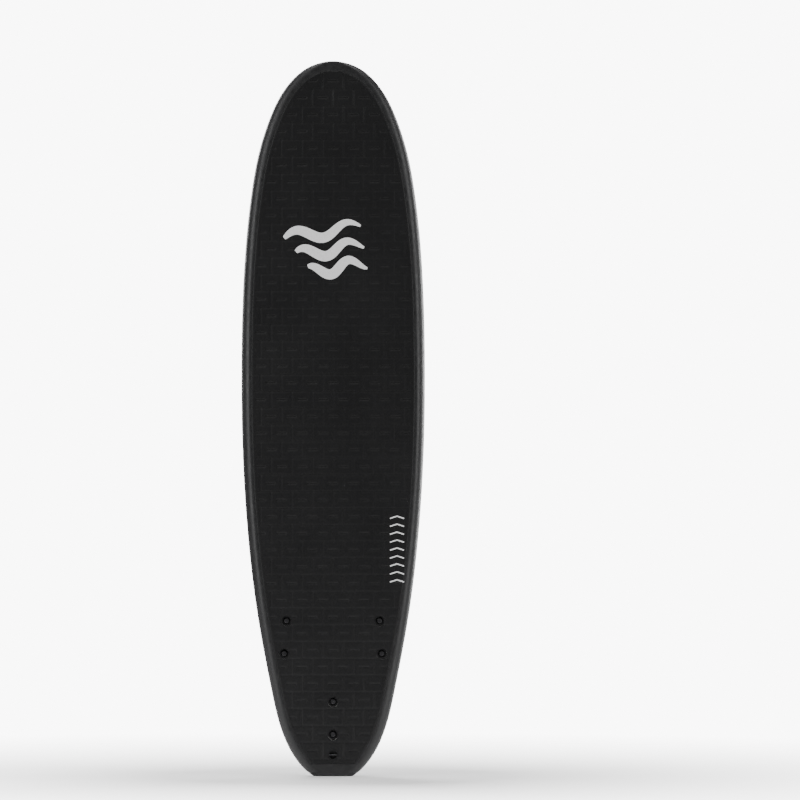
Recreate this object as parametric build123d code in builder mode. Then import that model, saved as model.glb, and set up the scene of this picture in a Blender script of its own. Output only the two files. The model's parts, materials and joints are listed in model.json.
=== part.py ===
from build123d import *
import math
import os

os.makedirs("parts", exist_ok=True)

# A 7'0" soft-top surfboard, millimetres.
# Z runs from the tail end (0) to the nose. The deck faces -Y and the bottom with its fins +Y.
# X is the width, and -X is the surfer's left on the deck with the nose ahead.

# Driving sizes
LENGTH = 2134.0
HALF_WIDTH = 275.0
NOSE_RADIUS = 160.0
NOSE_ANGLES = (45, 33, 22, 12, 5)  # degrees from the tip at which the nose arc has a section
CROWN = 10.0  # how much lower the deck is at the widest rail than on the centre line
RAIL_ROLL = 30.0  # width of the rounding between deck and rail
RAIL_ROLL_SHARE = 0.45  # most of a half width that this rounding takes, at the nose
BOTTOM_ROLL = 6.0  # width of the rounding between rail and bottom
BOTTOM_ROLL_SHARE = 0.3
FULLNESS = 0.55  # how full the rail curves are, as a share of their reach
SHOULDER = 0.45  # fullness of the rail's shoulder beside the deck
SHOULDER_DROP = 0.02
APEX_HEIGHT = 0.32  # rail apex above the bottom, as a share of the thickness

SKIN = 5.0  # foam skin on the deck and round the rails
SLICK = 1.0  # plastic sheet on the bottom
BACKING = 2.0  # foam sheet between the plastic sheet and the core
DECK_MARGIN = 30.0  # from the outline to the edge of the deck skin
SLICK_MARGIN = 7.0  # from the outline to the edge of the slick bottom
CORNER_SKIP = 0.9  # outline points nearer the tail than this share of a margin aren't moved in
BUMPER = 7.5  # thickness of the tail bumper
STRINGER = 5.0  # thickness of a stringer
STRINGER_X = 70.0  # stringer centre to board centre

# Fins
SIDE_FIN_X = 146.0
SIDE_FIN_Z = 412.0
CENTER_FIN_Z = 169.0
TOE = 4.0  # degrees that a side fin points inwards
CANT = 3.5  # degrees that it leans outwards
FIN_SECTIONS = (  # height, leading edge, trailing edge, thickness
    (2.0, 54, -74, 10.0),
    (40.0, 33, -80, 8.5),
    (75.0, 2, -92, 6.5),
    (100.0, -38, -108, 4.5),
    (114.0, -84, -123, 2.5),
)
WIDEST = 0.62  # where a fin is thickest, from its trailing edge as a share of its length
TAPER = 0.06  # slope of its sides at the trailing edge
EDGE = 0.6  # half the thickness of its trailing edge
FLANGE_LENGTH = 148.0
FLANGE_WIDTH = 34.5
FLANGE_TOP = 4.5  # flange face above the bottom of the board
FLANGE_ROUND = 3.0
FLANGE_GAP = 0.3  # between flange and bottom
SCREW_SPREAD = 49.0  # screw centre to flange centre
POST_RADIUS = 6.5
SLEEVE_BORE = 6.8
SLEEVE_RADIUS = 9.5
INSERT_RADIUS = 5.0
INSERT_BORE = 3.175
INSERT_LENGTH = 18.0
TRAVEL_ROOM = 2.0  # free length of the blind hole past a screw's end
SHANK_RADIUS = 3.1
SHANK_HOLE = 3.6
HEAD_RADIUS = 7.5
HEAD_HEIGHT = 4.0
HEAD_GAP = 0.1  # screw head above the cup floor
RECESS_WIDTH = 1.6
RECESS_LENGTH = 9.0
RECESS_DEPTH = 1.8
CUP_RIM = 15.5
CUP_RIM_DEPTH = 2.5
CUP_MOUTH = 13.0
CUP_FLOOR_RADIUS = 8.5
CUP_FLOOR = 8.0  # cup floor below the deck
CUP_BODY = 14.0  # radius of the cup below its rim
CUP_DEPTH = 11.0
POST_END = 15.0  # end of a fin post below the deck
SHANK_END = 31.0  # end of a screw below the deck
ABOVE = 8.0  # how far a piece stands past the skin before it is trimmed to it

# Leash plug
PLUG_Z = 64.0
PLUG_RIM = 19.0
PLUG_RIM_DEPTH = 2.5
PLUG_BODY = 15.0
PLUG_BORE = 12.5
PLUG_BORE_DEPTH = 18.0
PLUG_BODY_DEPTH = 26.0
PIN_RADIUS = 2.5
PIN_DEPTH = 6.0
PIN_INSET = 0.5  # pin ends inside the cup wall
DISC_RADIUS = 20.0
DISC_THICKNESS = 2.5
STEM_RADIUS = 6.0
STEM_REACH = 6.0  # how far the stem enters the cup
COIN_SLOT_LENGTH = 16.0
COIN_SLOT_WIDTH = 2.0
COIN_SLOT_DEPTH = 1.2

# Sections of the board: distance from the tail, half width, deck and bottom on the centre line
STATIONS = (
    (0, 58, -22, 20),
    (9, 72, -22, 21),
    (27, 92, -21, 23),
    (73, 126, -20, 29),
    (257, 185, -16, 46),
    (496, 229, -14, 59),
    (735, 257, -13, 67),
    (974, 271.5, -13, 70),
    (1205, HALF_WIDTH, -14, 69.5),
    (1400, 272, -18, 64),
    (1572, 263, -25, 53),
    (1740, 245, -37, 34),
    (1871, 220, -49, 14),
    (1960, 191, -59, -3),
    (2030, 158, -68, -18),
)
NOSE_DECK_SLOPE = 0.14  # how fast deck and bottom lift in the nose, past the last station
NOSE_BOTTOM_SLOPE = 0.24


def stations(side=0.0, deck=0.0, bottom=0.0):
    """Distance, half width, deck and bottom of every section, each moved inwards."""
    rows = [(z, w - side, d + deck, b - bottom) for z, w, d, b in STATIONS]
    last_z, _, last_deck, last_bottom = STATIONS[-1]
    radius = NOSE_RADIUS - side
    for angle in NOSE_ANGLES:
        z = LENGTH - NOSE_RADIUS + radius * math.cos(math.radians(angle))
        lift = z - last_z
        rows.append(
            (
                z,
                radius * math.sin(math.radians(angle)),
                last_deck - NOSE_DECK_SLOPE * lift + deck,
                last_bottom - NOSE_BOTTOM_SLOPE * lift - bottom,
            )
        )
    return rows


def cross_section(z, half, deck, bottom):
    """Crowned deck, rolled rails and flat bottom at one distance from the tail."""
    roll = min(RAIL_ROLL, RAIL_ROLL_SHARE * half)
    low = min(BOTTOM_ROLL, BOTTOM_ROLL_SHARE * half)
    apex = bottom - APEX_HEIGHT * (bottom - deck)
    edge = deck + CROWN * (half / HALF_WIDTH) ** 2
    with BuildSketch(Plane.XY.offset(z)) as outline:
        with BuildLine():
            ThreePointArc((roll - half, edge), (0, deck), (half - roll, edge))
            upper = [
                (half - roll, edge),
                (half - SHOULDER * roll, edge + SHOULDER_DROP * roll),
                (half, apex - FULLNESS * (apex - edge)),
                (half, apex),
            ]
            lower = [
                (half, apex),
                (half, apex + FULLNESS * (bottom - apex)),
                (half - FULLNESS * low, bottom),
                (half - low, bottom),
            ]
            Bezier(*upper)
            Bezier(*lower)
            Line((half - low, bottom), (low - half, bottom))
            Bezier(*[(-x, y) for x, y in reversed(lower)])
            Bezier(*[(-x, y) for x, y in reversed(upper)])
        make_face()
    return outline.sketch


def board(side=0.0, deck=0.0, bottom=0.0):
    """The whole board as one solid, moved inwards by each thickness."""
    with BuildPart() as solid:
        loft([cross_section(*row) for row in stations(side, deck, bottom)])
    return solid.part


def planform(margin, tail):
    """A tall solid with the board's outline moved inwards, cut off at the tail."""
    points = [Vector(w, z) for z, w, _, _ in stations()]
    moved_in = []
    for before, point, after in zip(points, points[1 : len(STATIONS)], points[2:]):
        if point.Y < CORNER_SKIP * margin:
            continue  # the tail's corner is tighter than the margin
        along = (after - before).normalized()
        moved_in.append(point + Vector(-along.Y, along.X) * margin)
    nose_z, nose_half, _, _ = stations(side=margin)[len(STATIONS)]
    moved_in.append(Vector(nose_half, nose_z))
    with BuildPart() as solid:
        with BuildSketch(Plane.XZ.offset(-2 * HALF_WIDTH)):
            with BuildLine():
                Spline(*moved_in)
                CenterArc((0, LENGTH - NOSE_RADIUS), NOSE_RADIUS - margin, 45, 45)
                Polyline((0, LENGTH - margin), (0, 0), (moved_in[0].X, 0), moved_in[0])
            make_face()
            mirror(about=Plane.YZ)
        extrude(amount=4 * HALF_WIDTH)
        split(bisect_by=Plane.XY.offset(tail), keep=Keep.TOP)
    return solid.part


hull = board()
under_slick = Pos(0, -SLICK, 0) * hull
under_backing = Pos(0, -SLICK - BACKING, 0) * hull
core = board(SKIN, SKIN, -SKIN).split(Plane.XY.offset(BUMPER + SKIN), keep=Keep.TOP) & under_backing


def bottom_plane(x, z, toe=0.0, cant=0.0):
    """Plane on the bottom: its X points to the nose, turned by toe, its Z outwards, tilted by cant."""
    hits = hull.find_intersection_points(Axis((x, 0, z), (0, 1, 0)))
    seat, normal = max(hits, key=lambda hit: hit[0].Y)
    outward = normal.rotate(Axis.Z, -cant)
    forward = Vector(-math.sin(math.radians(toe)), 0, math.cos(math.radians(toe)))
    forward = forward - outward * forward.dot(outward)
    return Plane(origin=seat, x_dir=forward, z_dir=outward)


def deck_depth(seat, along):
    """Distance through the board from the bottom to the deck at a screw."""
    start = seat.from_local_coords(Vector(along, 0, 0))
    hits = hull.find_intersection_points(Axis(start, seat.z_dir * -1))
    return max((point - start).length for point, _ in hits)


FINS = {
    "left": bottom_plane(-SIDE_FIN_X, SIDE_FIN_Z, toe=-TOE, cant=-CANT),
    "center": bottom_plane(0, CENTER_FIN_Z),
    "right": bottom_plane(SIDE_FIN_X, SIDE_FIN_Z, toe=TOE, cant=CANT),
}
plug_hits = [point.Y for point, _ in hull.find_intersection_points(Axis((0, 0, PLUG_Z), (0, 1, 0)))]
plug_deck = min(plug_hits)
plug_bottom = max(plug_hits)

# One solid for everything that the board is drilled for, taken out of each layer
with BuildPart() as drillings:
    for seat in FINS.values():
        for along in (SCREW_SPREAD, -SCREW_SPREAD):
            depth = deck_depth(seat, along)
            with BuildSketch(seat.offset(-depth - ABOVE)):
                with Locations((along, 0)):
                    Circle(CUP_RIM)
            extrude(amount=ABOVE + CUP_RIM_DEPTH)
            with BuildSketch(seat.offset(-depth)):
                with Locations((along, 0)):
                    Circle(CUP_BODY)
            extrude(amount=CUP_DEPTH)
            with BuildSketch(seat.offset(-depth)):
                with Locations((along, 0)):
                    Circle(SLEEVE_RADIUS)
            extrude(amount=depth + ABOVE)
    for radius, start, end in (
        (PLUG_RIM, plug_deck - ABOVE, plug_deck + PLUG_RIM_DEPTH),
        (PLUG_BODY, plug_deck, plug_deck + PLUG_BODY_DEPTH),
        (STEM_RADIUS, plug_deck, plug_bottom),
        (DISC_RADIUS, plug_bottom - DISC_THICKNESS, plug_bottom + ABOVE),
    ):
        with BuildSketch(Plane.XZ.offset(-end)):
            with Locations((0, PLUG_Z)):
                Circle(radius)
        extrude(amount=end - start)

# Layers, cut along the edges of the deck skin and of the slick bottom
body_hull = hull.split(Plane.XY.offset(BUMPER), keep=Keep.TOP)
deck_field = body_hull & planform(DECK_MARGIN, BUMPER + DECK_MARGIN)
slick_field = body_hull & planform(SLICK_MARGIN, BUMPER + SLICK_MARGIN)
deck_layer = (deck_field - core).solids().sort_by(Axis.Y)[0]
slick_layer = slick_field - under_slick
backing_layer = (slick_field & under_slick) - under_backing

with BuildPart() as rail_skin:
    add(body_hull)
    add(core, mode=Mode.SUBTRACT)
    add(deck_layer, mode=Mode.SUBTRACT)
    add(slick_layer, mode=Mode.SUBTRACT)
    add(backing_layer, mode=Mode.SUBTRACT)
rail_skin.part.label = "rail_skin"
export_step(rail_skin.part, "parts/rail_skin.step")

with BuildPart() as deck_skin:
    add(deck_layer)
    add(drillings.part, mode=Mode.SUBTRACT)
deck_skin.part.label = "deck_skin"
export_step(deck_skin.part, "parts/deck_skin.step")

with BuildPart() as slick_bottom:
    add(slick_layer)
    add(drillings.part, mode=Mode.SUBTRACT)
slick_bottom.part.label = "slick_bottom"
export_step(slick_bottom.part, "parts/slick_bottom.step")

with BuildPart() as bottom_backing:
    add(backing_layer)
    add(drillings.part, mode=Mode.SUBTRACT)
bottom_backing.part.label = "bottom_backing"
export_step(bottom_backing.part, "parts/bottom_backing.step")

with BuildPart() as tail_bumper:
    add(hull)
    split(bisect_by=Plane.XY.offset(BUMPER), keep=Keep.BOTTOM)
tail_bumper.part.label = "tail_bumper"
export_step(tail_bumper.part, "parts/tail_bumper.step")


# Foam core in three blocks, glued to two wooden stringers
def core_slab(label, left, right, drilled):
    """The stretch of the core between two distances from the centre line."""
    with BuildPart() as slab:
        with BuildSketch(Plane.XY):
            with Locations(((left + right) / 2, 0)):
                Rectangle(right - left, 2 * HALF_WIDTH)
        extrude(amount=LENGTH)
        add(core, mode=Mode.INTERSECT)
        if drilled:
            add(drillings.part, mode=Mode.SUBTRACT)
    slab.part.label = label
    export_step(slab.part, f"parts/{label}.step")


inner = STRINGER_X - STRINGER / 2
outer = STRINGER_X + STRINGER / 2
core_slab("left_core", -HALF_WIDTH, -outer, True)
core_slab("center_core", -inner, inner, True)
core_slab("right_core", outer, HALF_WIDTH, True)
core_slab("left_stringer", -outer, -inner, False)
core_slab("right_stringer", inner, outer, False)


# Fins, with what holds them to the board

def foil(seat, height, lead, trail, thickness):
    """One section of a fin: blunt in front, thin behind."""
    widest = trail + WIDEST * (lead - trail)
    with BuildSketch(seat.offset(height)) as outline:
        with BuildLine():
            Spline((trail, EDGE), (widest, thickness / 2), (lead, 0), tangents=((1, TAPER), (0, -1)))
            Spline((lead, 0), (widest, -thickness / 2), (trail, -EDGE), tangents=((0, -1), (-1, TAPER)))
            Line((trail, -EDGE), (trail, EDGE))
        make_face()
    return outline.sketch


def round_rod(seat, along, radius, start, end):
    """A round rod on the axis of one of the fin's screws, between two heights above the seat."""
    with BuildSketch(seat.offset(start)) as disc:
        with Locations((along, 0)):
            Circle(radius)
    return extrude(disc.sketch, amount=end - start, mode=Mode.PRIVATE)


def make_fin(side, seat):
    """Flange, raked blade and two bored posts in one moulding."""
    with BuildPart() as fin:
        with BuildSketch(seat.offset(-FLANGE_TOP)):
            SlotOverall(FLANGE_LENGTH, FLANGE_WIDTH)
        extrude(amount=2 * FLANGE_TOP)
        top = fin.faces().filter_by(lambda face: face.normal_at().dot(seat.z_dir) > 0.99)
        fillet(top.edges(), FLANGE_ROUND)
        loft([foil(seat, *row) for row in FIN_SECTIONS])
        add(Pos(0, FLANGE_GAP, 0) * hull, mode=Mode.SUBTRACT)
        for along in (SCREW_SPREAD, -SCREW_SPREAD):
            depth = deck_depth(seat, along)
            insert_end = POST_END + INSERT_LENGTH - depth
            add(round_rod(seat, along, POST_RADIUS, POST_END - depth, FLANGE_TOP / 2))
            hole_end = insert_end + TRAVEL_ROOM
            add(round_rod(seat, along, INSERT_RADIUS, POST_END - depth, insert_end), mode=Mode.SUBTRACT)
            add(round_rod(seat, along, SHANK_HOLE, POST_END - depth, hole_end), mode=Mode.SUBTRACT)
    fin.part.label = f"{side}_fin"
    export_step(fin.part, f"parts/{side}_fin.step")


def make_inserts(side, seat):
    """Two brass inserts, moulded into the ends of the posts."""
    with BuildPart() as inserts:
        for along in (SCREW_SPREAD, -SCREW_SPREAD):
            start = POST_END - deck_depth(seat, along)
            end = start + INSERT_LENGTH
            add(round_rod(seat, along, INSERT_RADIUS, start, end))
            add(round_rod(seat, along, INSERT_BORE, start, end), mode=Mode.SUBTRACT)
    inserts.part.label = f"{side}_fin_inserts"
    export_step(inserts.part, f"parts/{side}_fin_inserts.step")


def make_sleeves(side, seat):
    """Two tubes through the foam, from the cups to the backing of the slick."""
    with BuildPart() as sleeves:
        for along in (SCREW_SPREAD, -SCREW_SPREAD):
            start = CUP_DEPTH - deck_depth(seat, along)
            add(round_rod(seat, along, SLEEVE_RADIUS, start, FLANGE_TOP))
            add(round_rod(seat, along, SLEEVE_BORE, start, FLANGE_TOP), mode=Mode.SUBTRACT)
        add(hull, mode=Mode.INTERSECT)
    sleeves.part.label = f"{side}_screw_sleeves"
    export_step(sleeves.part, f"parts/{side}_screw_sleeves.step")


def make_cups(side, seat):
    """Two dished cups, flush with the deck, that hold the screw heads."""
    with BuildPart() as cups:
        for along in (SCREW_SPREAD, -SCREW_SPREAD):
            deck = -deck_depth(seat, along)
            floor = deck + CUP_FLOOR
            add(round_rod(seat, along, CUP_RIM, deck - ABOVE, deck + CUP_RIM_DEPTH))
            add(round_rod(seat, along, CUP_BODY, deck, deck + CUP_DEPTH))
            with BuildSketch(seat.offset(deck)) as mouth:
                with Locations((along, 0)):
                    Circle(CUP_MOUTH)
            with BuildSketch(seat.offset(floor)) as bed:
                with Locations((along, 0)):
                    Circle(CUP_FLOOR_RADIUS)
            loft([mouth.sketch, bed.sketch], mode=Mode.SUBTRACT)
            add(round_rod(seat, along, CUP_MOUTH, deck - ABOVE, deck), mode=Mode.SUBTRACT)
            add(round_rod(seat, along, SHANK_HOLE, floor, deck + CUP_DEPTH), mode=Mode.SUBTRACT)
        add(hull, mode=Mode.INTERSECT)
    cups.part.label = f"{side}_screw_cups"
    export_step(cups.part, f"parts/{side}_screw_cups.step")


def make_screw(side, end_name, seat, along):
    """Pan head with a cross recess and a plain shank that stands for the thread."""
    deck = -deck_depth(seat, along)
    seating = deck + CUP_FLOOR - HEAD_GAP
    with BuildPart() as screw:
        add(round_rod(seat, along, HEAD_RADIUS, seating - HEAD_HEIGHT, seating))
        outside = screw.faces().sort_by(Axis(seat.origin, seat.z_dir))[0]
        fillet(outside.edges(), HEAD_HEIGHT / 3)
        add(round_rod(seat, along, SHANK_RADIUS, seating, deck + SHANK_END))
        with BuildSketch(seat.offset(seating - HEAD_HEIGHT)):
            with Locations((along, 0)):
                Rectangle(RECESS_LENGTH, RECESS_WIDTH)
                Rectangle(RECESS_WIDTH, RECESS_LENGTH)
        extrude(amount=RECESS_DEPTH, mode=Mode.SUBTRACT)
    screw.part.label = f"{side}_{end_name}_screw"
    export_step(screw.part, f"parts/{side}_{end_name}_screw.step")


for side, seat in FINS.items():
    make_fin(side, seat)
    make_inserts(side, seat)
    make_sleeves(side, seat)
    make_cups(side, seat)
    make_screw(side, "front", seat, SCREW_SPREAD)
    make_screw(side, "rear", seat, -SCREW_SPREAD)


# Leash plug: a cup in the deck, a cross pin, and a disc on the bottom that screws into the cup
def plug_rod(radius, start, end):
    """A round rod on the plug's axis, between two distances from the deck."""
    with BuildSketch(Plane.XZ.offset(-plug_deck - end)) as disc:
        with Locations((0, PLUG_Z)):
            Circle(radius)
    return extrude(disc.sketch, amount=end - start, mode=Mode.PRIVATE)


plug_depth = plug_bottom - plug_deck
with BuildPart() as leash_cup:
    add(plug_rod(PLUG_RIM, -ABOVE, PLUG_RIM_DEPTH))
    add(plug_rod(PLUG_BODY, 0, PLUG_BODY_DEPTH))
    add(plug_rod(PLUG_BORE, -ABOVE, PLUG_BORE_DEPTH), mode=Mode.SUBTRACT)
    add(plug_rod(STEM_RADIUS, PLUG_BODY_DEPTH - STEM_REACH, PLUG_BODY_DEPTH), mode=Mode.SUBTRACT)
    with BuildSketch(Plane.YZ.offset(-PLUG_BODY)):
        with Locations((plug_deck + PIN_DEPTH, PLUG_Z)):
            Circle(PIN_RADIUS)
    extrude(amount=2 * PLUG_BODY, mode=Mode.SUBTRACT)
    add(hull, mode=Mode.INTERSECT)
leash_cup.part.label = "leash_cup"
export_step(leash_cup.part, "parts/leash_cup.step")

with BuildPart() as leash_pin:
    with BuildSketch(Plane.YZ.offset(PIN_INSET - PLUG_BODY)):
        with Locations((plug_deck + PIN_DEPTH, PLUG_Z)):
            Circle(PIN_RADIUS)
    extrude(amount=2 * (PLUG_BODY - PIN_INSET))
leash_pin.part.label = "leash_pin"
export_step(leash_pin.part, "parts/leash_pin.step")

with BuildPart() as leash_disc:
    add(plug_rod(DISC_RADIUS, plug_depth - DISC_THICKNESS, plug_depth + ABOVE))
    add(plug_rod(STEM_RADIUS, PLUG_BODY_DEPTH - STEM_REACH, plug_depth))
    add(hull, mode=Mode.INTERSECT)
    with BuildSketch(Plane.XZ.offset(-plug_bottom - ABOVE)):
        with Locations((0, PLUG_Z)):
            Rectangle(COIN_SLOT_LENGTH, COIN_SLOT_WIDTH)
    extrude(amount=ABOVE + COIN_SLOT_DEPTH, mode=Mode.SUBTRACT)
leash_disc.part.label = "leash_bottom_disc"
export_step(leash_disc.part, "parts/leash_bottom_disc.step")
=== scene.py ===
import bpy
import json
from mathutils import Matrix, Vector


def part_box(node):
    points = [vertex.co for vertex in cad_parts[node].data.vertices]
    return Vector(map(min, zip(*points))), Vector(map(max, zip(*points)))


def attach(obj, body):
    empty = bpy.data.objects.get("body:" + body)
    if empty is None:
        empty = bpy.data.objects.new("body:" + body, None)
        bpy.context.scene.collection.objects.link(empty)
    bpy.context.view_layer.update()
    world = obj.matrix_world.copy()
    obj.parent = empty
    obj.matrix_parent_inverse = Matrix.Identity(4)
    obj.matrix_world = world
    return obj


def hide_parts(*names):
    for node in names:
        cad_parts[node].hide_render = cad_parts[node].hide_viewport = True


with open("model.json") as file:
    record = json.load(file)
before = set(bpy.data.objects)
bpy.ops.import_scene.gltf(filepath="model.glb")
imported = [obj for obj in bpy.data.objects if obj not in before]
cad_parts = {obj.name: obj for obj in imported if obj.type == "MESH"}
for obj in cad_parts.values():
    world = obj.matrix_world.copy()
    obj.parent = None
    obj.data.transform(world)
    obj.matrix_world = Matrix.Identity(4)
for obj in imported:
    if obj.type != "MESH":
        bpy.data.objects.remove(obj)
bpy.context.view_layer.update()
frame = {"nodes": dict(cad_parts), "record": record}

import json
import math

import bpy
from mathutils import Vector
from mathutils.bvhtree import BVHTree

# A soft-top surfboard. Metres: Z from tail to nose, the deck faces -Y, the bottom +Y.

nodes = frame["nodes"]
FIN_SIDES = ("left", "center", "right")
MM = 0.001


# ---------------------------------------------------------------- materials

def new_material(name, color, roughness, metallic=0.0):
    """A material with its shader, ready for more nodes."""
    material = bpy.data.materials.new(name)
    material.use_nodes = True
    shader = material.node_tree.nodes["Principled BSDF"]
    shader.inputs["Base Color"].default_value = (*color, 1.0)
    shader.inputs["Roughness"].default_value = roughness
    shader.inputs["Metallic"].default_value = metallic
    return material, shader


class Graph:
    """Short helpers for one material's nodes. Textures are placed in object coordinates."""

    def __init__(self, material, shader):
        self.tree = material.node_tree
        self.shader = shader
        self.place = self.tree.nodes.new("ShaderNodeTexCoord").outputs["Object"]

    def node(self, kind, **settings):
        """A new node with some settings."""
        made = self.tree.nodes.new(kind)
        for key, value in settings.items():
            setattr(made, key, value)
        return made

    def link(self, source, target):
        self.tree.links.new(source, target)

    def noise(self, scale, detail=3.0, roughness=0.5, stretch=(1, 1, 1)):
        """Noise of about scale blobs a metre, times stretch along each axis."""
        mapping = self.node("ShaderNodeMapping")
        mapping.inputs["Scale"].default_value = stretch
        self.link(self.place, mapping.inputs["Vector"])
        made = self.node("ShaderNodeTexNoise")
        made.inputs["Scale"].default_value = scale
        made.inputs["Detail"].default_value = detail
        made.inputs["Roughness"].default_value = roughness
        self.link(mapping.outputs["Vector"], made.inputs["Vector"])
        return made.outputs["Fac"]

    def cells(self, scale):
        """Distance from the middle of the nearest cell, for pebbles and beads."""
        made = self.node("ShaderNodeTexVoronoi")
        made.inputs["Scale"].default_value = scale
        self.link(self.place, made.inputs["Vector"])
        return made.outputs["Distance"]

    def ramp(self, source, low, high, first, last):
        """Spreads source between two positions over two values."""
        made = self.node("ShaderNodeMapRange")
        made.inputs["From Min"].default_value = low
        made.inputs["From Max"].default_value = high
        made.inputs["To Min"].default_value = first
        made.inputs["To Max"].default_value = last
        self.link(source, made.inputs["Value"])
        return made.outputs["Result"]

    def color(self, source, low, high, first, second):
        """Base colour, from first to second as source goes from low to high."""
        factor = self.ramp(source, low, high, 0, 1)
        mix = self.node("ShaderNodeMix", data_type="RGBA")
        # of a Mix node's sockets, these are the factor, the two colours and their mix
        self.link(factor, mix.inputs[0])
        mix.inputs[6].default_value = (*first, 1.0)
        mix.inputs[7].default_value = (*second, 1.0)
        self.link(mix.outputs[2], self.shader.inputs["Base Color"])

    def roughness(self, source, low, high, first, second):
        """Roughness, from first to second as source goes from low to high."""
        self.link(self.ramp(source, low, high, first, second), self.shader.inputs["Roughness"])

    def bumps(self, *layers):
        """Each layer is a height, its distance in metres and its strength."""
        normal = None
        for height, distance, strength in layers:
            made = self.node("ShaderNodeBump")
            made.inputs["Distance"].default_value = distance
            made.inputs["Strength"].default_value = strength
            self.link(height, made.inputs["Height"])
            if normal:
                self.link(normal, made.inputs["Normal"])
            normal = made.outputs["Normal"]
        self.link(normal, self.shader.inputs["Normal"])


def deck_foam():
    """Matt black foam skin with a fine pebble grain and faint wear."""
    material, shader = new_material("deck_foam_skin", (0.009, 0.009, 0.010), 0.5)
    shader.inputs["Specular IOR Level"].default_value = 0.3
    graph = Graph(material, shader)
    cloud = graph.noise(6.0, 4.0)
    fine = graph.noise(900.0, 2.0)
    graph.color(cloud, 0.35, 0.7, (0.0055, 0.0055, 0.006), (0.0085, 0.0085, 0.009))
    graph.roughness(fine, 0.3, 0.7, 0.4, 0.56)
    graph.bumps((graph.cells(420.0), 0.0004, 0.35), (fine, 0.0002, 0.3))
    return material


def rail_foam():
    """Smooth black foam skin on the rails, slightly mottled and softly shiny."""
    material, shader = new_material("rail_foam_skin", (0.012, 0.012, 0.013), 0.5)
    shader.inputs["Specular IOR Level"].default_value = 0.5
    graph = Graph(material, shader)
    mottle = graph.noise(55.0, 4.0, 0.65)
    grain = graph.noise(700.0, 2.0)
    graph.color(mottle, 0.35, 0.65, (0.0075, 0.0075, 0.008), (0.013, 0.013, 0.014))
    graph.roughness(mottle, 0.3, 0.7, 0.42, 0.56)
    graph.bumps((mottle, 0.0012, 0.25), (grain, 0.0002, 0.3))
    return material


def slick_sheet():
    """White polyethylene sheet: glossy, a little cloudy, with faint scuffs along the board."""
    material, shader = new_material("slick_white_sheet", (0.8, 0.81, 0.83), 0.28)
    shader.inputs["Subsurface Weight"].default_value = 0.05
    shader.inputs["Subsurface Radius"].default_value = (0.004, 0.004, 0.005)
    graph = Graph(material, shader)
    cloud = graph.noise(3.0, 3.0)
    scuff = graph.noise(60.0, 5.0, 0.6, stretch=(6, 1, 0.25))
    graph.color(cloud, 0.35, 0.7, (0.79, 0.80, 0.83), (0.84, 0.845, 0.86))
    graph.roughness(scuff, 0.35, 0.75, 0.24, 0.36)
    graph.bumps((graph.noise(4.0, 2.0), 0.002, 0.12), (scuff, 0.0002, 0.12))
    return material


def molded_black(name, roughness, shine=0.5, color=(0.012, 0.012, 0.013)):
    """Black moulded plastic with a spark-eroded grain and rubbed high spots."""
    material, shader = new_material(name, color, roughness)
    shader.inputs["Specular IOR Level"].default_value = shine
    graph = Graph(material, shader)
    spots = graph.noise(140.0, 4.0)
    grain = graph.noise(2400.0, 2.0)
    lighter = tuple(channel * 1.7 for channel in color)
    graph.color(spots, 0.45, 0.75, color, lighter)
    graph.roughness(spots, 0.3, 0.7, roughness - 0.07, roughness + 0.1)
    graph.bumps((grain, 0.00015, 0.3), (spots, 0.0004, 0.1))
    return material


def steel():
    """Blackened stainless steel with turning marks."""
    material, shader = new_material("screw_steel", (0.1, 0.1, 0.105), 0.32, 1.0)
    graph = Graph(material, shader)
    marks = graph.noise(900.0, 3.0, 0.6, stretch=(1, 6, 1))
    graph.color(marks, 0.3, 0.7, (0.07, 0.07, 0.075), (0.14, 0.14, 0.145))
    graph.roughness(marks, 0.3, 0.7, 0.26, 0.42)
    graph.bumps((marks, 0.0001, 0.3))
    return material


def brass():
    """Slightly tarnished brass."""
    material, shader = new_material("insert_brass", (0.7, 0.5, 0.2), 0.3, 1.0)
    graph = Graph(material, shader)
    tarnish = graph.noise(300.0, 4.0)
    graph.color(tarnish, 0.35, 0.7, (0.72, 0.52, 0.22), (0.5, 0.34, 0.13))
    graph.roughness(tarnish, 0.3, 0.7, 0.22, 0.45)
    graph.bumps((tarnish, 0.0001, 0.3))
    return material


def expanded_foam(name, color, scale):
    """White bead foam: closely packed cells with dark joints."""
    material, shader = new_material(name, color, 0.85)
    graph = Graph(material, shader)
    beads = graph.cells(scale)
    darker = tuple(channel * 0.82 for channel in color)
    graph.color(beads, 0.1, 0.6, color, darker)
    graph.roughness(beads, 0.1, 0.6, 0.8, 0.95)
    graph.bumps((beads, 0.0008, 0.6))
    return material


def stringer_wood():
    """Pale wood with its grain along the board."""
    material, shader = new_material("stringer_wood", (0.5, 0.33, 0.17), 0.55)
    graph = Graph(material, shader)
    rings = graph.noise(45.0, 5.0, 0.6, stretch=(1, 4, 0.06))
    graph.color(rings, 0.3, 0.7, (0.56, 0.38, 0.2), (0.33, 0.2, 0.1))
    graph.roughness(rings, 0.3, 0.7, 0.45, 0.65)
    graph.bumps((rings, 0.0003, 0.4))
    return material


def ink(name, color):
    """Screen-printed ink: a thin, slightly uneven film."""
    material, shader = new_material(name, color, 0.45)
    graph = Graph(material, shader)
    film = graph.noise(260.0, 4.0)
    darker = tuple(channel * 0.86 for channel in color)
    graph.color(film, 0.35, 0.75, color, darker)
    graph.roughness(film, 0.3, 0.7, 0.38, 0.55)
    graph.bumps((film, 0.00015, 0.3))
    return material


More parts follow.
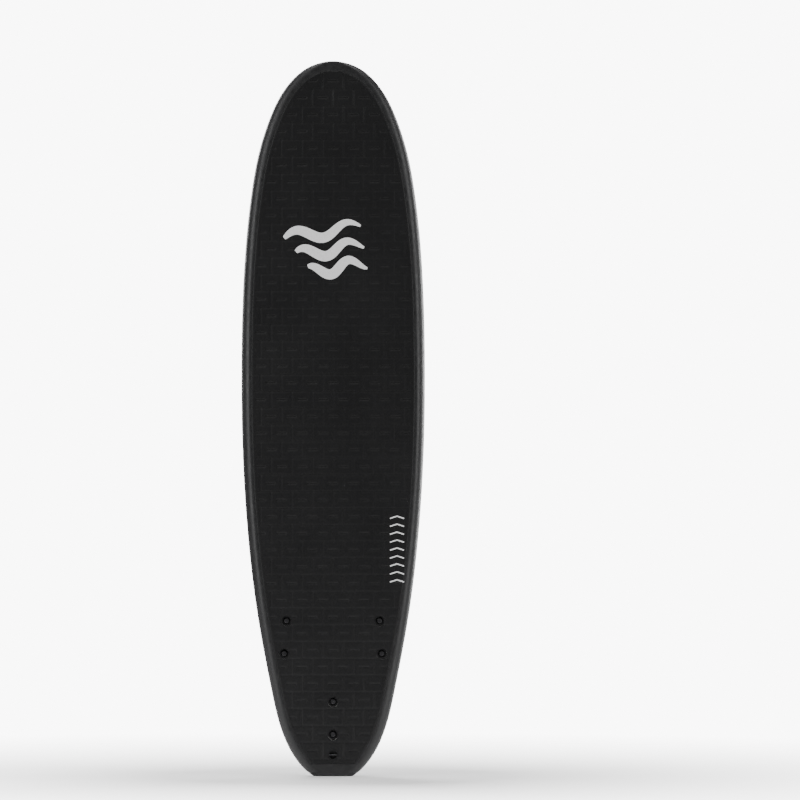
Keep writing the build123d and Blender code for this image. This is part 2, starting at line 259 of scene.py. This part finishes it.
MATERIALS = {
    "deck": deck_foam(),
    "rail": rail_foam(),
    "slick": slick_sheet(),
    "bumper": molded_black("tail_bumper_rubber", 0.55),
    "fin": molded_black("fin_plastic", 0.34),
    "plug": molded_black("plug_plastic", 0.4, 0.3, (0.005, 0.005, 0.0055)),
    "sleeve": molded_black("sleeve_plastic", 0.5, 0.5, (0.5, 0.5, 0.51)),
    "steel": steel(),
    "brass": brass(),
    "core": expanded_foam("core_bead_foam", (0.82, 0.82, 0.8), 220.0),
    "backing": expanded_foam("backing_foam", (0.45, 0.45, 0.47), 500.0),
    "wood": stringer_wood(),
    "white_ink": ink("white_print", (0.93, 0.93, 0.93)),
    "black_ink": ink("black_print", (0.012, 0.012, 0.012)),
}


FINISHES = {  # the end of a CAD node's name, and its material
    "deck_skin": "deck",
    "rail_skin": "rail",
    "slick_bottom": "slick",
    "bottom_backing": "backing",
    "tail_bumper": "bumper",
    "_core": "core",
    "_stringer": "wood",
    "_fin": "fin",
    "_inserts": "brass",
    "_sleeves": "sleeve",
    "_screw": "steel",
    "leash_pin": "steel",
    "_cups": "plug",
    "leash_cup": "plug",
    "leash_bottom_disc": "plug",
}
for name, obj in nodes.items():
    finish = next(material for ending, material in FINISHES.items() if name.endswith(ending))
    obj.data.materials.clear()
    obj.data.materials.append(MATERIALS[finish])


# ---------------------------------------------------------------- the CAD board's surface

def tree_of(*names):
    """A ray-casting tree over some CAD nodes."""
    points = []
    faces = []
    for name in names:
        mesh = nodes[name].data
        start = len(points)
        points += [vertex.co.copy() for vertex in mesh.vertices]
        faces += [[start + i for i in polygon.vertices] for polygon in mesh.polygons]
    return BVHTree.FromPolygons(points, faces)


def convex_outline(*names):
    """The outline seen along Y of some CAD nodes, as points (x, z), anticlockwise."""
    points = set()
    for name in names:
        for vertex in nodes[name].data.vertices:
            points.add((round(vertex.co.x, 6), round(vertex.co.z, 6)))
    points = sorted(points)

    def half(sequence):
        chain = []
        for p in sequence:
            while len(chain) > 1:
                (ax, az), (bx, bz) = chain[-2], chain[-1]
                if (bx - ax) * (p[1] - az) - (bz - az) * (p[0] - ax) > 0:
                    break
                chain.pop()
            chain.append(p)
        return chain[:-1]

    return half(points) + half(points[::-1])


def half_width(outline, z):
    """Half the width of an outline at one height."""
    widest = 0.0
    for (ax, az), (bx, bz) in zip(outline, outline[1:] + outline[:1]):
        if min(az, bz) <= z <= max(az, bz) and az != bz:
            widest = max(widest, abs(ax + (bx - ax) * (z - az) / (bz - az)))
    return widest


BOARD_TREE = tree_of("deck_skin", "rail_skin", "slick_bottom", "tail_bumper")
DECK_OUTLINE = convex_outline("deck_skin")
SLICK_OUTLINE = convex_outline("slick_bottom")


def head_center(node):
    """Middle (x, z) of a node's topmost millimetre, on the deck's side."""
    mesh = nodes[node].data
    top = min(vertex.co.y for vertex in mesh.vertices)
    face = [vertex.co for vertex in mesh.vertices if vertex.co.y < top + 1 * MM]
    low_x, high_x = min(p.x for p in face), max(p.x for p in face)
    low_z, high_z = min(p.z for p in face), max(p.z for p in face)
    return (low_x + high_x) / 2, (low_z + high_z) / 2


def box_center(node):
    """Middle (x, z) of a node's box."""
    low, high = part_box(node)
    return (low[0] + high[0]) / 2, (low[2] + high[2]) / 2


def box_radius(node):
    """Half the width of a node's box."""
    low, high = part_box(node)
    return (high[0] - low[0]) / 2


CUP_RADIUS = 15.5 * MM
POST_HOLE = 9.5 * MM  # radius of the hole round a fin's post
BRIDGE = 4 * MM  # the surface is bridged this far round a hole
FAR = 1.0  # rays start this far out
AXIS_TRIES = 6  # enough for a screw's axis to settle on the bottom
SCREWS = [f"{side}_{end}_screw" for side in FIN_SIDES for end in ("front", "rear")]
DECK_HOLES = [(*head_center(screw), CUP_RADIUS) for screw in SCREWS]
DECK_HOLES.append((*box_center("leash_cup"), box_radius("leash_cup")))


def cast(x, z, side):
    """The board's surface at (x, z), on the deck (side -1) or on the bottom (side 1)."""
    hit = BOARD_TREE.ray_cast(Vector((x, side * FAR, z)), Vector((0, -side, 0)))[0]
    return hit.y if hit else None


def surface(x, z, side, holes):
    """The same, in a straight line across the round holes (x, z, radius)."""
    for hole_x, hole_z, radius in holes:
        reach = radius + BRIDGE
        if math.hypot(x - hole_x, z - hole_z) < reach:
            left = cast(hole_x - reach, z, side)
            right = cast(hole_x + reach, z, side)
            share = (x - hole_x + reach) / (2 * reach)
            return left + (right - left) * share
    return cast(x, z, side)


def post_hole(screw):
    """The hole (x, z, radius) where the axis of a screw leaves the bottom."""
    joint = next(j for j in frame["record"]["behaviour"]["joints"] if j["child"] == screw)
    start = Vector(joint["pos_m"])
    axis = Vector(joint["axis"]).normalized()
    place = start
    for _ in range(AXIS_TRIES):
        bottom = cast(place.x + CUP_RADIUS, place.z, 1)
        place = start + axis * (bottom - start.y) / axis.y
    return place.x, place.z, POST_HOLE


POST_HOLES = [post_hole(screw) for screw in SCREWS]
BOTTOM_HOLES = POST_HOLES + [(*box_center("leash_bottom_disc"), box_radius("leash_bottom_disc"))]


# ---------------------------------------------------------------- meshes over the surface

EDGE_INSET = 0.2 * MM  # a sheet ends this far inside its outline
END_INSET = 0.1 * MM  # and this far from its lowest and highest points
CLOSE_ROWS_END = 0.55  # rows are closer together up to here, past the fins
NOSE = 60 * MM  # rows follow an arc over this length
NOSE_ROWS = 26
NOSE_MARGIN = 1.5  # height below the nose counts this many times as distance from the edge
SHEET_PASSES = 3  # of smoothing


def smooth_rows(grid, passes):
    """Evens out the facets of a grid of heights, keeping its edges."""
    for _ in range(passes):
        grid = [
            [
                value
                if not (0 < i < len(grid) - 1 and 0 < j < len(row) - 1)
                else 0.2 * (value + grid[i - 1][j] + grid[i + 1][j] + row[j - 1] + row[j + 1])
                for j, value in enumerate(row)
            ]
            for i, row in enumerate(grid)
        ]
    return grid


def row_heights(low, high, step, wide_step):
    """Heights from tail to nose: wider apart past the fins, closer together at the rounded nose."""
    heights = []
    parts = ((low, CLOSE_ROWS_END, step), (CLOSE_ROWS_END, high - NOSE, wide_step))
    for start, end, apart in parts:
        count = int((end - start) / apart)
        heights += [start + (end - start) * i / count for i in range(count)]
    for i in range(NOSE_ROWS):
        heights.append(high - NOSE * (1 - math.sin(math.pi / 2 * i / NOSE_ROWS)))
    heights.append(high - END_INSET)
    return heights


def make_object(name, points, faces, material):
    """A smooth-shaded mesh object that rides on the board."""
    mesh = bpy.data.meshes.new(name)
    mesh.from_pydata(points, [], faces)
    mesh.validate()
    mesh.materials.append(MATERIALS[material])
    mesh.shade_smooth()
    obj = bpy.data.objects.new(name, mesh)
    bpy.context.scene.collection.objects.link(obj)
    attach(obj, "board")
    return obj


def thicken(obj, thickness):
    """Gives an open sheet its thickness, away from its outer face."""
    solid = obj.modifiers.new("thickness", "SOLIDIFY")
    solid.thickness = thickness
    solid.offset = -1.0
    solid.use_even_offset = False


def sheet_rows(outline, columns, step, wide_step):
    """Rows of points (x, z) that fill an outline."""
    low = min(z for _, z in outline)
    high = max(z for _, z in outline)
    rows = []
    for z in row_heights(low + END_INSET, high, step, wide_step):
        width = half_width(outline, z) - EDGE_INSET
        rows.append([(width * (2 * j / (columns - 1) - 1), z) for j in range(columns)])
    return rows


def surface_rows(rows, side, holes):
    """Smoothed surface heights of rows of points. A point that misses takes its neighbour's."""
    grid = []
    for row in rows:
        line = []
        for x, z in row:
            y = surface(x, z, side, holes)
            line.append(line[-1] if y is None and line else y)
        grid.append(line)
    return smooth_rows(grid, SHEET_PASSES)


def cut_hole(points, faces, hole):
    """Drops the faces inside a round hole and puts the points on its edge on the circle."""
    hole_x, hole_z, radius = hole
    center = Vector((hole_x, hole_z))
    kept = []
    inside = set()
    for face in faces:
        corners = [Vector((points[i][0], points[i][2])) for i in face]
        middle = sum(corners, Vector((0, 0))) / len(face)
        if (middle - center).length < radius:
            inside.update(face)
        else:
            kept.append(face)
    for index in inside.intersection(index for face in kept for index in face):
        out = (Vector((points[index][0], points[index][2])) - center).normalized() * radius
        points[index][0] = hole_x + out.x
        points[index][2] = hole_z + out.y
    return kept


def sheet_over(name, outline, side, holes, material, relief, columns, step, wide_step):
    """A dense sheet over the deck or the bottom, with round holes.

    relief(x, z, margin) is its height above the CAD surface, margin from the sheet's edge.
    """
    rows = sheet_rows(outline, columns, step, wide_step)
    nose = max(z for _, z in outline)
    points = []
    for row, line in zip(rows, surface_rows(rows, side, holes)):
        width = abs(row[0][0])
        for (x, z), y in zip(row, line):
            margin = min(width - abs(x), (nose - z) * NOSE_MARGIN)
            points.append([x, y + side * relief(x, z, margin), z])
    faces = []
    for i in range(len(rows) - 1):
        for j in range(columns - 1):
            corner = i * columns + j
            quad = [corner, corner + 1, corner + columns + 1, corner + columns]
            faces.append(quad if side < 0 else quad[::-1])
    for hole in holes:
        faces = cut_hole(points, faces, hole)
    used = sorted({index for face in faces for index in face})
    renumber = {index: place for place, index in enumerate(used)}
    faces = [[renumber[index] for index in face] for face in faces]
    return make_object(name, [points[index] for index in used], faces, material)


# ---------------------------------------------------------------- deck skin

BRICK_WIDTH = 62 * MM
BRICK_HEIGHT = 50 * MM
GROOVE = 2.9 * MM  # half the width of a groove
GROOVE_DEPTH = 1.7 * MM
JOINT_DEPTH = 0.8 * GROOVE_DEPTH  # of the joints between the bricks of a course
DASH = 15 * MM  # half the length of the dash in each brick
DASH_HALF = 1.3 * GROOVE  # half its width
DASH_DEPTH = 1.5 * GROOVE_DEPTH
PIT = 6 * MM  # radius of the pit where a joint meets a course
PIT_DEPTH = 2.6 * MM
PLAIN_RING = 1 * MM  # plain skin round each hole
FADE = 6 * MM  # over which the pattern fades out towards a hole or the edge
SEAM_WIDTH = 5 * MM
SEAM_DEPTH = 1.2 * MM
SKIN_THICKNESS = 3 * MM  # of the deck and the rail, as far as can be seen


def dip(distance, half, depth):
    """Depth of a rounded groove at a distance from its middle line."""
    return depth * 0.5 * (1 + math.cos(math.pi * distance / half)) if distance < half else 0.0


def deck_relief(x, z, margin):
    """Height of the embossed deck above its plain surface: bricks with a pressed dash in each."""
    course = math.floor(z / BRICK_HEIGHT)
    shift = 0.5 * BRICK_WIDTH * (course % 2)
    along = (x + shift) / BRICK_WIDTH
    to_joint = abs(along - round(along)) * BRICK_WIDTH
    to_course = abs(z / BRICK_HEIGHT - round(z / BRICK_HEIGHT)) * BRICK_HEIGHT
    across_brick = abs(along - math.floor(along) - 0.5) * BRICK_WIDTH
    up_brick = abs(z - (course + 0.5) * BRICK_HEIGHT)
    depth = dip(to_course, GROOVE, GROOVE_DEPTH)
    depth = max(depth, dip(to_joint, GROOVE, JOINT_DEPTH))
    if across_brick < DASH:
        depth = max(depth, dip(up_brick, DASH_HALF, DASH_DEPTH))
    depth = max(depth, dip(math.hypot(to_joint, to_course), PIT, PIT_DEPTH))
    room = margin - SEAM_WIDTH
    for hole_x, hole_z, radius in DECK_HOLES:
        room = min(room, math.hypot(x - hole_x, z - hole_z) - radius - PLAIN_RING)
    depth *= min(1.0, max(0.0, room / FADE))
    return -depth - dip(max(margin, 0), SEAM_WIDTH, SEAM_DEPTH)


deck = sheet_over(
    "deck_skin_embossed",
    DECK_OUTLINE,
    -1,
    DECK_HOLES,
    "deck",
    deck_relief,
    columns=181,
    step=2.6 * MM,
    wide_step=2.8 * MM,
)
thicken(deck, SKIN_THICKNESS)
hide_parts("deck_skin")


# ---------------------------------------------------------------- slick bottom

SLICK_PROUD = 0.3 * MM
SLICK_EDGE = 3 * MM  # width of the rounded edge
SLICK_EDGE_DEPTH = 0.5 * MM
SLICK_THICKNESS = 1 * MM


def slick_relief(x, z, margin):
    """The sheet stands a little proud of the rail, with a rounded edge."""
    return SLICK_PROUD - dip(max(margin, 0), SLICK_EDGE, SLICK_EDGE_DEPTH)


slick = sheet_over(
    "slick_bottom_sheet",
    SLICK_OUTLINE,
    1,
    BOTTOM_HOLES,
    "slick",
    slick_relief,
    columns=133,
    step=3.4 * MM,
    wide_step=9 * MM,
)
thicken(slick, SLICK_THICKNESS)
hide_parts("slick_bottom")


# ---------------------------------------------------------------- rail skin

RAIL_TREE = tree_of("deck_skin", "rail_skin", "slick_bottom")
RAIL_POINTS = 1000  # round the board
RAIL_ANGLES = 45  # from the deck skin's edge, round the rail, to the slick
RAIL_PASSES = 4  # of smoothing
SEAM_ANGLES = 8  # the seam with the deck skin lies within these
PROBE_INSET = 1.5 * MM  # the board's thickness is taken this far inside the deck skin's edge
SLICK_INSIDE = 24.5 * MM  # rail skin ends this far outside the deck skin's edge, under the slick
LIP_WIDTH = 4 * MM  # rail skin that reaches in under the edge of the deck skin
LIP_DEPTH = 2 * MM
NORMAL_REACH = 5  # neighbours on each side that a direction is taken over


def resample(outline, count):
    """Evenly spaced points along a closed outline."""
    lengths = [0.0]
    closed = outline + outline[:1]
    for (ax, az), (bx, bz) in zip(closed, closed[1:]):
        lengths.append(lengths[-1] + math.hypot(bx - ax, bz - az))
    points = []
    place = 0
    for i in range(count):
        target = lengths[-1] * i / count
        while lengths[place + 1] < target:
            place += 1
        share = (target - lengths[place]) / (lengths[place + 1] - lengths[place])
        (ax, az), (bx, bz) = closed[place], closed[place + 1]
        points.append((ax + (bx - ax) * share, az + (bz - az) * share))
    return points


def smooth_loop(points, passes):
    """Evens out a closed loop of points."""
    count = len(points)
    for _ in range(passes):
        smoothed = []
        for i, (x, z) in enumerate(points):
            before, after = points[i - 1], points[(i + 1) % count]
            new_x = 0.25 * before[0] + 0.5 * x + 0.25 * after[0]
            new_z = 0.25 * before[1] + 0.5 * z + 0.25 * after[1]
            smoothed.append((new_x, new_z))
        points = smoothed
    return points


def rail_strip():
    """A sheet from under the deck skin's edge, round the rail, to under the slick's edge."""
    loop = smooth_loop(resample(DECK_OUTLINE, RAIL_POINTS), RAIL_PASSES)
    count = len(loop)
    points = []
    for i, (x, z) in enumerate(loop):
        before = loop[i - NORMAL_REACH]
        after = loop[(i + NORMAL_REACH) % count]
        outward = Vector((after[1] - before[1], 0, before[0] - after[0])).normalized()
        inner = Vector((x, 0, z)) - outward * PROBE_INSET
        top = surface(inner.x, inner.z, -1, [])
        bottom = surface(inner.x, inner.z, 1, [])
        origin = Vector((x, (top + bottom) / 2, z))
        last = math.atan2(bottom - origin.y, SLICK_INSIDE)
        lip = Vector((x, top + LIP_DEPTH, z)) - outward * LIP_WIDTH
        points.append(lip)
        for k in range(RAIL_ANGLES):
            share = k / (RAIL_ANGLES - 1)
            angle = -math.pi / 2 + (last + math.pi / 2) * share
            ray = outward * math.cos(angle) + Vector((0, math.sin(angle), 0))
            hit = RAIL_TREE.ray_cast(origin + ray * FAR, -ray)[0]
            seam = 0.0
            if k < SEAM_ANGLES:
                outside = (hit - origin).length * math.cos(angle)
                seam = dip(outside, SEAM_WIDTH, SEAM_DEPTH)
            points.append(hit - ray * seam)
    faces = []
    columns = RAIL_ANGLES + 1
    for i in range(count):
        for k in range(columns - 1):
            a = i * columns + k
            b = ((i + 1) % count) * columns + k
            faces.append([a, a + 1, b + 1, b])
    return make_object("rail_skin_rolled", points, faces, "rail")


rail = rail_strip()
thicken(rail, SKIN_THICKNESS)
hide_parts("rail_skin")


# ---------------------------------------------------------------- generic printed marks

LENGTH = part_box("rail_skin")[1][2]
PRINT_LIFT = 0.4 * MM  # outside of the ink above the surface
PRINT_THICKNESS = 0.3 * MM
WAVE_STEPS = 72
WAVE_TILT = math.radians(9)
WAVE_TIP = 0.4 * MM  # least half width of a stroke
WAVE_SPACING = 0.31  # this and the next two are shares of the emblem's height
WAVE_SWING = 0.095
WAVE_HALF_STROKE = 0.085
WAVE_SHIFT = 0.06  # sideways from wave to wave, as a share of the emblem's width
CHEVRON_RISE = 0.32  # of an arm, as a share of the spacing
CHEVRON_HALF_STROKE = 1.9 * MM
CHEVRON_STOPS = (-1, -0.66, -0.33, -0.04, 0.04, 0.33, 0.66, 1)  # points along a chevron


def printed_ribbon(name, spine, widths, side, holes, material, across=7):
    """A printed stroke that follows the board's surface: spine points (x, z) and half widths."""
    points = []
    for i, (x, z) in enumerate(spine):
        ax, az = spine[max(i - 1, 0)]
        bx, bz = spine[min(i + 1, len(spine) - 1)]
        length = math.hypot(bx - ax, bz - az)
        nx, nz = -(bz - az) / length, (bx - ax) / length
        for j in range(across):
            offset = widths[i] * (2 * j / (across - 1) - 1)
            px, pz = x + nx * offset, z + nz * offset
            points.append((px, surface(px, pz, side, holes) + side * PRINT_LIFT, pz))
    faces = []
    for i in range(len(spine) - 1):
        for j in range(across - 1):
            a = i * across + j
            quad = [a, a + across, a + across + 1, a + 1]
            faces.append(quad[::-1] if side < 0 else quad)
    ribbon = make_object(name, points, faces, material)
    ribbon.data.shade_flat()
    thicken(ribbon, PRINT_THICKNESS)


def wave_emblem(name, center, size, side, holes, material):
    """Three stacked brush-like waves, tapered at both ends and tilted upwards."""
    width, height = size
    mirrored = -side  # on the bottom the emblem reads from the other side
    for row in range(3):
        spine = []
        widths = []
        lift = (1 - row) * WAVE_SPACING * height
        shift = (row - 1) * WAVE_SHIFT * width
        for i in range(WAVE_STEPS + 1):
            t = i / WAVE_STEPS
            along = (t - 0.5) * width * (0.98 - 0.12 * row) + shift
            up = lift + WAVE_SWING * height * math.sin(2 * math.pi * (1.5 * t + 0.1 * row))
            x = along * math.cos(WAVE_TILT) - up * math.sin(WAVE_TILT)
            z = along * math.sin(WAVE_TILT) + up * math.cos(WAVE_TILT)
            spine.append((center[0] + mirrored * x, center[1] + z))
            taper = math.sin(math.pi * (0.03 + 0.94 * t) ** 0.8) ** 0.6
            widths.append(max(WAVE_TIP, WAVE_HALF_STROKE * height * taper))
        if mirrored < 0:
            spine.reverse()
            widths.reverse()
        printed_ribbon(f"{name}_{row + 1}", spine, widths, side, holes, material)


def chevron_column(name, center, size, count, material):
    """A column of plain chevrons up the deck."""
    width, height = size
    arm = CHEVRON_RISE * height / count
    widths = [CHEVRON_HALF_STROKE] * len(CHEVRON_STOPS)
    for i in range(count):
        z = center[1] + (i / (count - 1) - 0.5) * height
        spine = [(center[0] + t * width / 2, z - abs(t) * arm) for t in CHEVRON_STOPS]
        printed_ribbon(f"{name}_{i + 1}", spine, widths, -1, DECK_HOLES, material, across=3)


# each mark's middle (x, z), then its width and height
wave_emblem("deck_wave", (-0.009, 0.737 * LENGTH), (0.236, 0.18), -1, DECK_HOLES, "white_ink")
wave_emblem("bottom_wave", (-0.139, 0.303 * LENGTH), (0.152, 0.115), 1, POST_HOLES, "black_ink")
chevron_column("deck_chevron", (0.191, 0.3195 * LENGTH), (0.042, 0.19), 9, "white_ink")


# ---------------------------------------------------------------- surroundings

FLOOR_REACH = 3.2
FLOOR_RINGS = 24
FLOOR_SPOKES = 96
FLOOR_SOLID = 0.5  # the floor starts to fade this far out
SOFT_LIGHT = 0.16  # how strongly the surroundings light the board
BACKDROP = 9.0  # how bright the white backdrop looks
MIDDLE = (0, 0, LENGTH / 2)
DISTANCE = 24.0  # far away, because the photo shows hardly any perspective
VIEW_HEIGHT = 2.391  # height of the picture at the board
VIEW_MIDDLE = (0.2, LENGTH / 2 + 0.057)  # x and z there in the middle of the picture


def make_floor():
    """A pale round floor that fades into the backdrop."""
    points = [(0, 0, 0)]
    for ring in range(1, FLOOR_RINGS + 1):
        for spoke in range(FLOOR_SPOKES):
            angle = 2 * math.pi * spoke / FLOOR_SPOKES
            radius = FLOOR_REACH * ring / FLOOR_RINGS
            points.append((radius * math.cos(angle), radius * math.sin(angle), 0))
    faces = [(0, 1 + spoke, 1 + (spoke + 1) % FLOOR_SPOKES) for spoke in range(FLOOR_SPOKES)]
    for ring in range(FLOOR_RINGS - 1):
        for spoke in range(FLOOR_SPOKES):
            a = 1 + ring * FLOOR_SPOKES + spoke
            b = 1 + ring * FLOOR_SPOKES + (spoke + 1) % FLOOR_SPOKES
            faces.append((a, a + FLOOR_SPOKES, b + FLOOR_SPOKES, b))
    mesh = bpy.data.meshes.new("floor")
    mesh.from_pydata(points, [], faces)
    material, shader = new_material("pale_floor", (0.9, 0.9, 0.9), 0.7)
    graph = Graph(material, shader)
    graph.roughness(graph.noise(3.0), 0.3, 0.7, 0.65, 0.75)
    distance = graph.node("ShaderNodeVectorMath", operation="LENGTH")
    graph.link(graph.place, distance.inputs[0])
    fade = graph.ramp(distance.outputs["Value"], FLOOR_SOLID, 0.97 * FLOOR_REACH, 1.0, 0.0)
    graph.link(fade, shader.inputs["Alpha"])
    mesh.materials.append(material)
    floor = bpy.data.objects.new("floor", mesh)
    bpy.context.scene.collection.objects.link(floor)


def area_light(name, place, target, size, power):
    """A rectangular light in watts, turned towards its target."""
    data = bpy.data.lights.new(name, "AREA")
    data.shape = "RECTANGLE"
    data.size, data.size_y = size
    data.energy = power
    light = bpy.data.objects.new(name, data)
    light.location = place
    light.rotation_euler = (Vector(target) - Vector(place)).to_track_quat("-Z", "Y").to_euler()
    bpy.context.scene.collection.objects.link(light)


def make_studio():
    """White surroundings, which look brighter to the camera than they light the board."""
    world = bpy.data.worlds.new("studio")
    world.use_nodes = True
    tree = world.node_tree
    seen = tree.nodes["Background"]
    seen.inputs["Strength"].default_value = BACKDROP
    seen.inputs["Color"].default_value = (1.0, 1.0, 1.0, 1.0)
    light = tree.nodes.new("ShaderNodeBackground")
    light.inputs["Strength"].default_value = SOFT_LIGHT
    light.inputs["Color"].default_value = (1.0, 1.0, 1.0, 1.0)
    paths = tree.nodes.new("ShaderNodeLightPath")
    mix = tree.nodes.new("ShaderNodeMixShader")
    tree.links.new(paths.outputs["Is Camera Ray"], mix.inputs[0])
    tree.links.new(light.outputs[0], mix.inputs[1])
    tree.links.new(seen.outputs[0], mix.inputs[2])
    tree.links.new(mix.outputs[0], tree.nodes["World Output"].inputs["Surface"])
    bpy.context.scene.world = world


def make_camera():
    """The photo's view, along +Y."""
    data = bpy.data.cameras.new("camera")
    data.sensor_width = 36.0
    data.lens = data.sensor_width * DISTANCE / VIEW_HEIGHT
    data.clip_end = 100.0
    camera = bpy.data.objects.new("camera", data)
    camera.location = (VIEW_MIDDLE[0], -DISTANCE, VIEW_MIDDLE[1])
    camera.rotation_euler = (math.radians(90), 0, 0)
    bpy.context.scene.collection.objects.link(camera)
    bpy.context.scene.camera = camera


make_floor()
area_light("key", (-2.6, -4.2, 3.4), MIDDLE, (2.0, 2.0), 22)
area_light("left_strip", (-2.8, -1.3, 1.4), MIDDLE, (0.8, 3.0), 55)
area_light("right_strip", (2.8, -1.3, 1.4), MIDDLE, (0.8, 3.0), 55)
area_light("top", (0, -0.6, 4.6), (0, 0, 0), (3.0, 3.0), 160)
area_light("back", (-1.8, 4.2, 2.8), MIDDLE, (2.6, 2.6), 300)
area_light("back_fill", (2.8, 3.4, 1.6), MIDDLE, (2.0, 3.0), 170)
make_studio()
make_camera()
